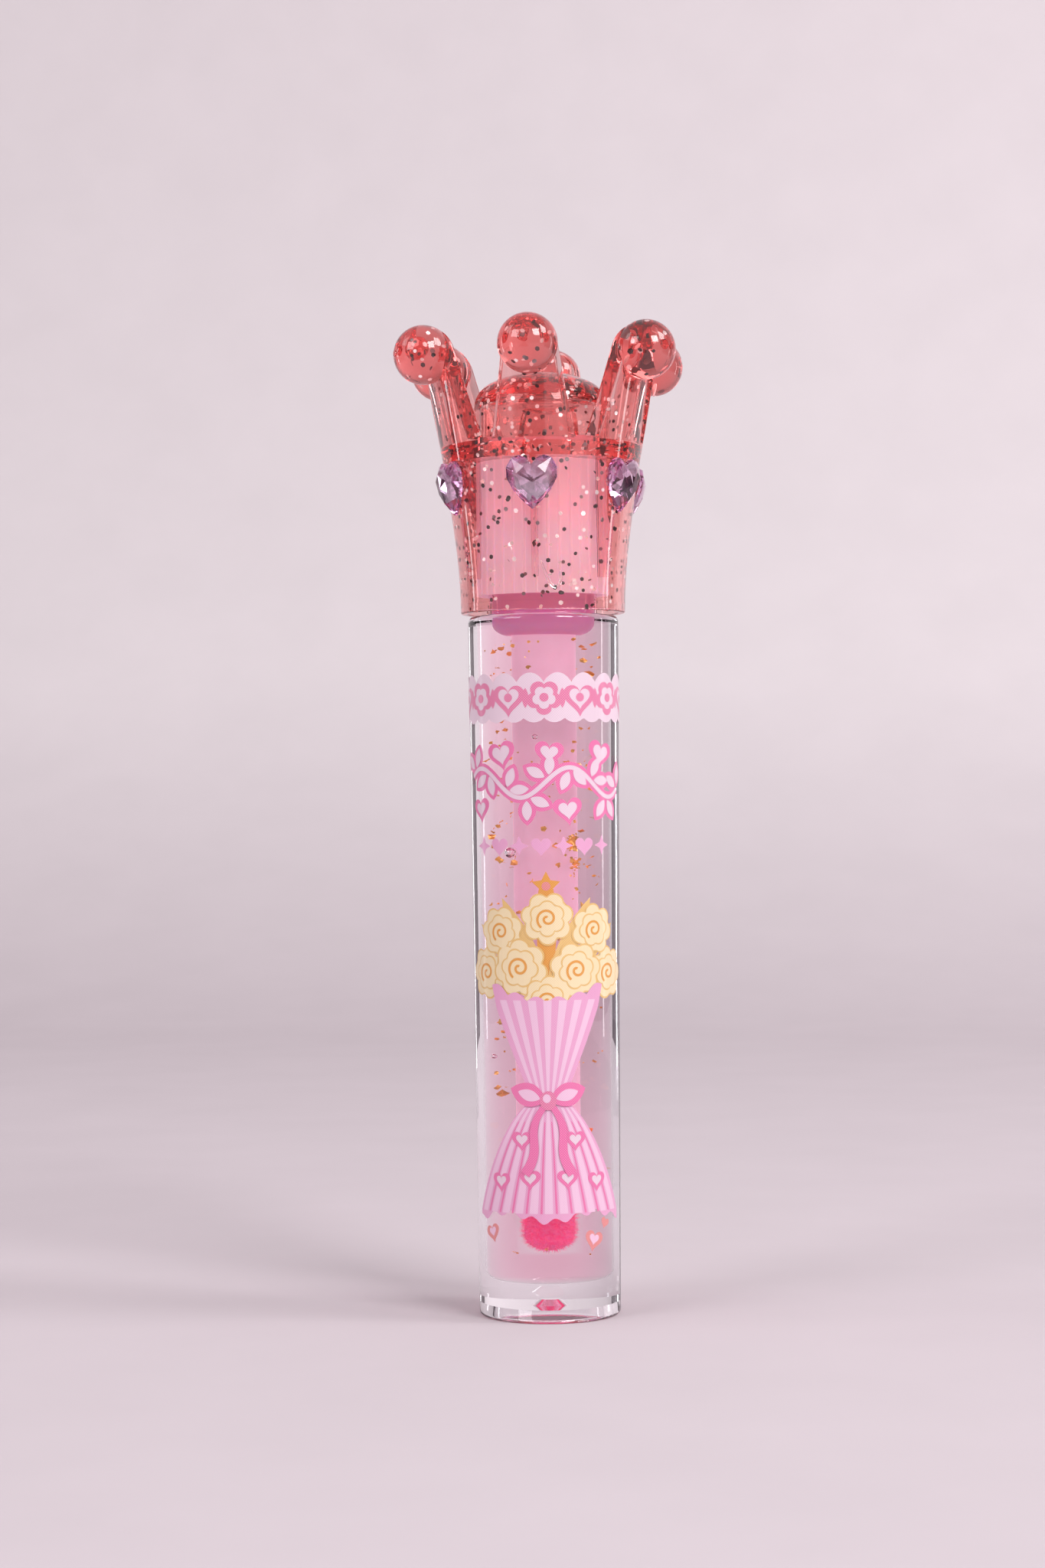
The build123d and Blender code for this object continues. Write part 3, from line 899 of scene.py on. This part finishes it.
PINK = ink("ink_pink", (0.62, 0.12, 0.26), (0.72, 0.3, 0.45), 0.55)
HOT = ink("ink_hot_pink", (0.68, 0.11, 0.3), (0.76, 0.26, 0.46), 0.6)
ROSE = ink("ink_rose", (0.66, 0.27, 0.46), (0.72, 0.38, 0.56), 0.5)
BLUSH = ink("ink_blush", (0.72, 0.42, 0.58), (0.76, 0.52, 0.66), 0.5)
MIST = ink("ink_mist", (0.66, 0.46, 0.56), (0.72, 0.58, 0.66), 0.45)
CREAM = ink("ink_cream", (0.74, 0.56, 0.32), (0.78, 0.66, 0.45), 0.5)
STRAW = ink("ink_straw", (0.66, 0.38, 0.12), (0.72, 0.5, 0.22), 0.5)
GOLD = ink("ink_gold", (0.62, 0.22, 0.04), (0.7, 0.36, 0.08), 0.5)
CORAL = ink("ink_coral", (0.62, 0.16, 0.18), (0.7, 0.3, 0.28), 0.5)


def make_print(name, outlines, level, material):
    """Film of ink in the shape of flat outlines, wrapped round the tube; higher levels lie on lower ones."""
    build = bmesh.new()
    for outline in outlines:
        build.faces.new([build.verts.new((s, z, 0)) for s, z in outline])
    bmesh.ops.triangulate(build, faces=build.faces)
    reach = max(abs(vertex.co.x) for vertex in build.verts)
    cuts = int(reach / OUTLINE_STEP)
    for step in range(-cuts, cuts + 1):
        everything = build.verts[:] + build.edges[:] + build.faces[:]
        cut = (step * OUTLINE_STEP + CUT_SHIFT, 0, 0)
        bmesh.ops.bisect_plane(build, geom=everything, dist=1e-5, plane_co=cut, plane_no=(1, 0, 0))
    bmesh.ops.triangulate(build, faces=build.faces)
    spots = [tuple(vertex.co) for vertex in build.verts]
    build.verts.index_update()
    faces = [[vertex.index for vertex in face.verts] for face in build.faces]
    rims = [
        (edge.link_loops[0].vert.index, edge.link_loops[0].link_loop_next.vert.index)
        for edge in build.edges
        if edge.is_boundary
    ]
    up = [face.normal.z > 0 for face in build.faces]
    build.free()
    faces = [face if side else face[::-1] for face, side in zip(faces, up)]
    count = len(spots)
    verts = []
    for layer in (0, 1):
        for s, z, _ in spots:
            radius = wall_radius(z * MM) + INK_GAP + (level * LEVEL_STEP + layer) * INK
            turn = s * MM / PRINT_RADIUS + PRINT_TURN
            verts.append((radius * sin(turn), -radius * cos(turn), z * MM))
    solid = [[index + count for index in face] for face in faces] + [face[::-1] for face in faces]
    mesh = bpy.data.meshes.new(name)
    sides = [(a, b, b + count, a + count) for a, b in rims]
    mesh.from_pydata(verts, [], solid + sides)
    build = bmesh.new()
    build.from_mesh(mesh)
    bmesh.ops.recalc_face_normals(build, faces=build.faces)
    layer = build.loops.layers.uv.new("UVMap")
    for face in build.faces:
        for loop in face.loops:
            s, z, _ = spots[loop.vert.index % count]
            loop[layer].uv = (s, z)
    build.to_mesh(mesh)
    build.free()
    piece = add_object(name, mesh, [material], "bottle", smooth=False)


def cloud_edge(s, mean, lump, pitch, side):
    """Height of a band's lumpy edge at an arc length."""
    return mean + side * lump * abs(sin(pi * s / pitch)) ** 0.7


def print_band():
    """Pale cloud-edged band round the front, with a row of pink hearts and blossoms."""
    reach, pitch = 14.6, 4.15
    top = curve(lambda s: (s, cloud_edge(s, 73.1, 1.15, 3.1, 1)), -reach, reach, 150)
    bottom = curve(lambda s: (s, cloud_edge(s, 69.1, 0.55, 2.3, -1)), -reach, reach, 150)
    make_print("print_band", [top + bottom[::-1]], 0, MIST)
    dark, light = [], []
    for step in range(-3, 4):
        s = step * pitch
        if step % 2 == 0:
            dark.append(petals(s, 71.4, 2.0, 5, 0.3, start=0.3))
            light.append(petals(s, 71.4, 1.32, 5, 0.3, start=0.3))
        else:
            dark.append(heart(s, 71.3, 4.0))
            light.append(heart(s, 71.42, 2.6))
        dark.append(leaf(s + 2.05, 70.2, 2.3, 0.75, pi / 2))
    make_print("print_band_ornaments", dark, 1, PINK)
    make_print("print_band_centres", light, 2, MIST)
    small = [circle(step * pitch, 71.4, 0.5) for step in range(-3, 4)]
    make_print("print_band_dots", small, 3, PINK)


VINE_HEIGHT = 61.7
VINE_SWING = 1.7
VINE_TURN = 0.56  # radians of swing per mm along the vine


def vine_at(s):
    """Height of the vine at an arc length."""
    return VINE_HEIGHT + VINE_SWING * sin(VINE_TURN * s)


def print_flourish():
    """Waving vine with pairs of leaves and five hearts, pale with a hot pink edge."""
    wave = curve(lambda s: (s, vine_at(s)), -10.4, 10.4, 90)
    edge, fill = [ribbon(wave, 1.25)], [ribbon(wave, 0.5)]
    for step in range(-4, 5):
        s = step * 2.5 + 0.4
        slope = atan2(VINE_SWING * VINE_TURN * cos(VINE_TURN * s), 1)
        side = 1 if step % 2 == 0 else -1
        for lean in (0.75, 1.9):
            turn = slope + side * lean
            edge.append(leaf(s, vine_at(s), 3.3, 2.1, turn))
            fill.append(leaf(s + 0.5 * cos(turn), vine_at(s) + 0.5 * sin(turn), 2.3, 1.15, turn))
    high = ((-5.2, 65.0, 3.0, 0.2), (0.5, 65.1, 2.6, -0.1), (7.0, 65.0, 3.0, -0.2))
    low = ((-8.6, 58.8, 2.4, 0.1), (2.6, 58.6, 2.8, 0.1))
    for s, z, size, tilt in high + low:
        edge.append(heart(s, z, size + 0.7, tilt))
        fill.append(heart(s, z, size - 0.6, tilt))
    for index, outline in enumerate(edge):
        make_print(f"print_vine_edge_{index + 1}", [outline], 0.5 * (index % 3), HOT)
    for index, outline in enumerate(fill):
        make_print(f"print_vine_fill_{index + 1}", [outline], 2.2 + 0.5 * (index % 3), MIST)


def print_small_row():
    """Row of small hearts and four-pointed stars under the vine."""
    shapes = []
    for step in range(-3, 4):
        s = step * 2.55 - 0.5
        if step % 2 == 0:
            shapes.append(heart(s, 54.5, 2.3))
        else:
            shapes.append(star(s, 54.5, 1.15, 4, 0.42))
    make_print("print_small_row", shapes, 0, ROSE)


def print_bloom(name, x, z, size, level, start):
    """One rose: an outer ring of petals, an inner ring turned a little and a curl at its heart."""
    make_print(f"{name}_edge", [petals(x, z, size, 7, 0.24, start=start)], level, STRAW)
    make_print(f"{name}_outer", [petals(x, z, size * 0.93, 7, 0.24, start=start)], level + 1, CREAM)
    make_print(f"{name}_shade", [petals(x, z, size * 0.68, 6, 0.22, start=start + 0.5)], level + 2, STRAW)
    make_print(f"{name}_inner", [petals(x, z, size * 0.62, 6, 0.22, start=start + 0.5)], level + 3, CREAM)
    grow = size * 0.075
    spiral = curve(lambda t: (x + grow * t * cos(2 * t), z + grow * t * sin(2 * t)), 0.7, 5.2, 46)
    make_print(f"{name}_curl", [ribbon(spiral, size * 0.085)], level + 4, GOLD)


TIE = 25.5  # height of the bow, in mm
CONE_TOP = 37.5
CONE_HALF = 6.9  # half widths of the wrap at its top, its tie and its hem
TIE_HALF = 1.8
HEM_HALF = 9.9
HEM = 12.6
BLOOMS = [  # place along the tube, height and radius of each rose, in mm, back ones first
    (-7.9, 40.0, 3.1),
    (8.1, 39.9, 3.1),
    (-5.6, 44.7, 3.0),
    (5.8, 44.9, 3.0),
    (0.1, 46.2, 3.1),
    (-3.2, 40.6, 3.4),
    (3.5, 40.3, 3.3),
    (0.1, 36.8, 3.0),
]


def print_roses():
    """Fan of leaves, a star pick and eight roses, each a little higher than the one behind it."""
    for index, turn in enumerate((38, 62, 90, 118, 142)):
        fan = leaf(0, 38.5, 11.4, 2.2, radians(turn))
        make_print(f"print_leaf_{index + 1}", [fan], 0, GOLD if turn == 90 else STRAW)
    make_print("print_star", [star(0, 49.9, 1.7, 5, 0.5)], 1.2, GOLD)
    make_print("print_star_centre", [circle(0, 49.9, 0.5)], 2.2, CORAL)
    for index, (x, z, size) in enumerate(BLOOMS):
        print_bloom(f"print_rose_{index + 1}", x, z, size, 1.5 + 5.5 * index / len(BLOOMS), 0.4 * index)


def cone_edge(share, z):
    """Arc length of a fold of the wrap above the tie."""
    return share * (TIE_HALF + (CONE_HALF - TIE_HALF) * (z - TIE) / (CONE_TOP - TIE))


def print_cone():
    """Wrap above the tie: a cone of paper with a lumpy rim and folds that run down to the bow."""
    foot, top = TIE + 0.4, 36.9
    rim = curve(lambda s: (s, 36.6 + 0.7 * abs(sin(s * 1.35)) + 0.04 * s * s), -CONE_HALF, CONE_HALF, 80)
    sides = [(cone_edge(side, z), z) for side, z in ((1, 36.0), (1, TIE), (-1, TIE), (-1, 36.0))]
    make_print("print_wrap_collar", [rim + sides], 11, ROSE)
    folds = []
    for step in range(-3, 4):
        share = step / 3
        low, high = cone_edge(share * 0.7, foot), cone_edge(share * 0.8, top)
        folds.append([(low - 0.12, foot), (high - 0.45, top), (high + 0.5, top), (low + 0.12, foot)])
    make_print("print_wrap_collar_folds", folds, 12, BLUSH)


def hem_edge(share, z):
    """Arc length of a fold of the wrap below the tie: quickly wide, then falling nearly straight."""
    return share * (TIE_HALF + (HEM_HALF - TIE_HALF) * ((TIE - z) / (TIE - HEM)) ** 0.7)


def hem_stripe(first, last, heights):
    """Stripe of the wrap below the tie, between two of its folds."""
    left = [(hem_edge(first, z), z) for z in heights]
    right = [(hem_edge(last, z), z) for z in heights]
    return left + right[::-1]


def print_hem():
    """Wrap below the tie: pleats that widen to a waved hem, with small hearts printed between them."""
    rows = [TIE - (TIE - HEM) * k / 16 for k in range(17)]
    wave = curve(lambda s: (s, HEM - 0.9 * cos(s * 0.3) ** 2 + 0.35 * sin(s * 2.4)), HEM_HALF, -HEM_HALF, 66)
    outline = [(hem_edge(1, z), z) for z in rows] + wave + [(hem_edge(-1, z), z) for z in reversed(rows)]
    make_print("print_wrap", [outline], 6.5, ROSE)
    pleats = [hem_stripe(step / 5.6 - 0.055, step / 5.6 + 0.045, rows[1:]) for step in range(-5, 6)]
    shades = [hem_stripe(step / 5.6 + 0.075, step / 5.6 + 0.10, rows[3:]) for step in range(-5, 5)]
    make_print("print_wrap_pleats", pleats, 7.5, BLUSH)
    make_print("print_wrap_shades", shades, 7.5, HOT)
    places = ((-0.55, 21.0), (0.55, 21.0), (-0.72, 16.2), (-0.27, 16.6), (0.27, 16.6), (0.72, 16.2))
    hearts = [heart(hem_edge(share, z), z, 2.5) for share, z in places]
    centres = [heart(hem_edge(share, z), z + 0.05, 1.4) for share, z in places]
    make_print("print_wrap_hearts", hearts, 9.2, HOT)
    make_print("print_wrap_heart_centres", centres, 10.1, MIST)


def print_bow():
    """Bow with two loops, two tails and a knot."""
    loops = [leaf(-0.2, TIE, 4.4, 2.7, radians(162)), leaf(0.2, TIE, 4.4, 2.7, radians(18))]
    insides = [leaf(-0.9, TIE + 0.2, 2.7, 1.3, radians(162)), leaf(0.9, TIE + 0.2, 2.7, 1.3, radians(18))]
    tails = []
    for side in (1, -1):
        tail = curve(lambda t: (side * (0.3 + 2.6 * t + 0.5 * sin(6 * t)), TIE - 0.4 - 8.0 * t), 0, 1, 24)
        tails.append(ribbon(tail, [0.7 + 0.5 * k / 24 for k in range(25)]))
    make_print("print_bow_loops", loops, 15, HOT)
    make_print("print_bow_insides", insides, 16, BLUSH)
    make_print("print_bow_tails", tails, 15.2, HOT)
    make_print("print_bow_knot", [circle(0, TIE, 0.95, squash=1.15)], 17, PINK)
    make_print("print_bow_knot_shine", [circle(-0.15, TIE + 0.25, 0.45, squash=1.1)], 18, BLUSH)


def print_low_hearts():
    """Three small hearts under the hem."""
    hearts = [heart(-7.6, 10.2, 2.3, 0.3), heart(5.6, 9.4, 2.6, -0.25), heart(7.4, 11.2, 1.4, -0.4)]
    make_print("print_low_hearts", hearts, 0, CORAL)
    centres = [heart(-7.6, 10.3, 1.2, 0.3), heart(5.6, 9.5, 1.4, -0.25)]
    make_print("print_low_heart_centres", centres, 1, BLUSH)


print_band()
print_flourish()
print_small_row()
print_roses()
print_cone()
print_hem()
print_bow()
print_low_hearts()


# ---- floor, light and camera ----
def make_stage():
    """Seamless pale floor that curves up into the backdrop; the flat floor is painted darker than the
    backdrop, painted shade that holds back the lights falling on it.
    """
    half_width = 1.2
    front, back, bend, top = -1.0, 0.75, 0.35, 1.3
    profile = [(front, 0.0), (back - bend, 0.0)]
    for step in range(1, 13):
        turn = radians(90 * step / 12)
        profile.append((back - bend + bend * sin(turn), bend - bend * cos(turn)))
    profile.append((back, top))
    mesh = bmesh.new()
    rows = [[mesh.verts.new((x, y, z)) for x in (-half_width, half_width)] for y, z in profile]
    for low, high in zip(rows, rows[1:]):
        mesh.faces.new((low[0], low[1], high[1], high[0]))
    data = bpy.data.meshes.new("backdrop")
    mesh.to_mesh(data)
    mesh.free()
    material, tree, shader, output = new_material("backdrop_paper")
    set_inputs(shader, Roughness=0.9, Specular_IOR_Level=0.2)
    coordinates = tree.nodes.new("ShaderNodeTexCoord")
    apart = tree.nodes.new("ShaderNodeSeparateXYZ")
    tree.links.new(coordinates.outputs["Object"], apart.inputs["Vector"])
    # Painted shade: darkest on the flat floor, lighter from 0.1 m up the backdrop.
    tones = [(0.0, (0.54, 0.477, 0.51)), (0.10, (0.67, 0.61, 0.635)), (0.30, (0.66, 0.60, 0.625))]
    rise = ramp(tree, apart.outputs["Z"], tones)
    grain = noise_texture(tree, 40, detail=4.0)
    fibre = ramp(tree, grain.outputs[0], [(0.3, (0.97, 0.97, 0.97)), (0.7, (1.0, 1.0, 1.0))])
    blend = tree.nodes.new("ShaderNodeMix")
    blend.data_type = "RGBA"
    blend.blend_type = "MULTIPLY"
    blend.inputs["Factor"].default_value = 1.0
    tree.links.new(rise.outputs["Color"], blend.inputs["A"])
    tree.links.new(fibre.outputs["Color"], blend.inputs["B"])
    tree.links.new(blend.outputs["Result"], shader.inputs["Base Color"])
    stage = add_object("backdrop", data, [material], None)


def add_light(name, place, aim, size, power, colour=(1, 1, 1)):
    """Rectangular soft light at a place, turned towards an aim."""
    data = bpy.data.lights.new(name, "AREA")
    data.shape = "RECTANGLE"
    data.size, data.size_y = size
    data.energy = power
    data.color = colour
    light = bpy.data.objects.new(name, data)
    bpy.context.scene.collection.objects.link(light)
    light.location = place
    light.rotation_euler = (Vector(aim) - Vector(place)).to_track_quat("-Z", "Y").to_euler()


def make_flags():
    """Dark cards at both sides and low in front, seen only in the glass and stones: painted shade that draws
    their dark edges.
    """
    material, tree, shader, output = new_material("painted_shade_flag")
    set_inputs(shader, Roughness=0.9, Specular_IOR_Level=0.1)
    weave = noise_texture(tree, 300, detail=2.0)
    tint = ramp(tree, weave.outputs[0], [(0.3, (0.05, 0.035, 0.045)), (0.7, (0.08, 0.06, 0.075))])
    tree.links.new(tint.outputs["Color"], shader.inputs["Base Color"])
    build = bmesh.new()
    for x in (-0.42, 0.42):
        corners = [(x, y, z) for y, z in ((-0.14, 0.0), (0.27, 0.0), (0.27, 0.32), (-0.14, 0.32))]
        build.faces.new([build.verts.new(corner) for corner in corners])
    card = [(x, y, 0.001) for x, y in ((-0.16, -0.28), (-0.16, -0.75), (0.06, -0.75), (0.06, -0.28))]
    build.faces.new([build.verts.new(corner) for corner in card])
    mesh = bpy.data.meshes.new("side_flags")
    build.to_mesh(mesh)
    build.free()
    flags = add_object("side_flags", mesh, [material], None, smooth=False)
    # Hidden from the camera, from shadows and from diffuse light, the cards show only as painted shade in
    # reflections and refractions.
    flags.visible_camera = False
    flags.visible_shadow = False
    flags.visible_diffuse = False


def make_lights():
    """High soft boxes beside the camera, thin strips at the sides, washes on the backdrop and a pale room."""
    middle = (0, 0, 0.07)
    add_light("key", (0.55, -0.60, 0.62), middle, (0.40, 0.40), 6.6)
    add_light("fill", (-0.60, -0.60, 0.55), middle, (0.45, 0.45), 3.4, (1.0, 0.97, 0.99))
    add_light("strip_right", (0.36, 0.10, 0.10), middle, (0.02, 0.22), 0.07)
    add_light("strip_left", (-0.36, 0.10, 0.10), middle, (0.02, 0.22), 0.07, (0.90, 0.95, 1.0))
    add_light("wash_right", (0.85, -0.10, 0.75), (0.45, 0.75, 0.08), (0.5, 0.5), 7.0)
    add_light("wash_left", (-0.85, -0.10, 0.70), (-0.55, 0.75, 0.08), (0.5, 0.5), 1.6)
    world = bpy.data.worlds.new("room")
    world.use_nodes = True
    world.node_tree.nodes["Background"].inputs["Color"].default_value = (1.0, 0.95, 0.97, 1)
    world.node_tree.nodes["Background"].inputs["Strength"].default_value = 0.43
    scene = bpy.context.scene
    scene.world = world
    scene.view_settings.view_transform = "Standard"
    scene.cycles.max_bounces = 28
    scene.cycles.glossy_bounces = 14
    scene.cycles.transmission_bounces = 28


def make_camera():
    """Level long lens a little to the object's right, with the object right of the frame's centre."""
    azimuth, yaw, pitch, roll = radians(5.6), radians(0.42), radians(0.29), radians(0.6)
    distance, height = 0.356, 0.0598
    place = Vector((distance * sin(azimuth), -distance * cos(azimuth), height))
    ahead = Vector((-sin(azimuth + yaw), cos(azimuth + yaw), tan(pitch))).normalized()
    right = ahead.cross(Vector((0, 0, 1))).normalized()
    up = right.cross(ahead)
    rolled_up = up * cos(roll) + right * sin(roll)
    rolled_right = right * cos(roll) - up * sin(roll)
    data = bpy.data.cameras.new("camera")
    data.lens = 70.1
    data.sensor_width = 36
    camera = bpy.data.objects.new("camera", data)
    bpy.context.scene.collection.objects.link(camera)
    turn = Matrix((rolled_right, rolled_up, -ahead)).transposed()
    camera.matrix_world = Matrix.Translation(place) @ turn.to_4x4()
    bpy.context.scene.camera = camera


make_stage()
make_flags()
make_lights()
make_camera()
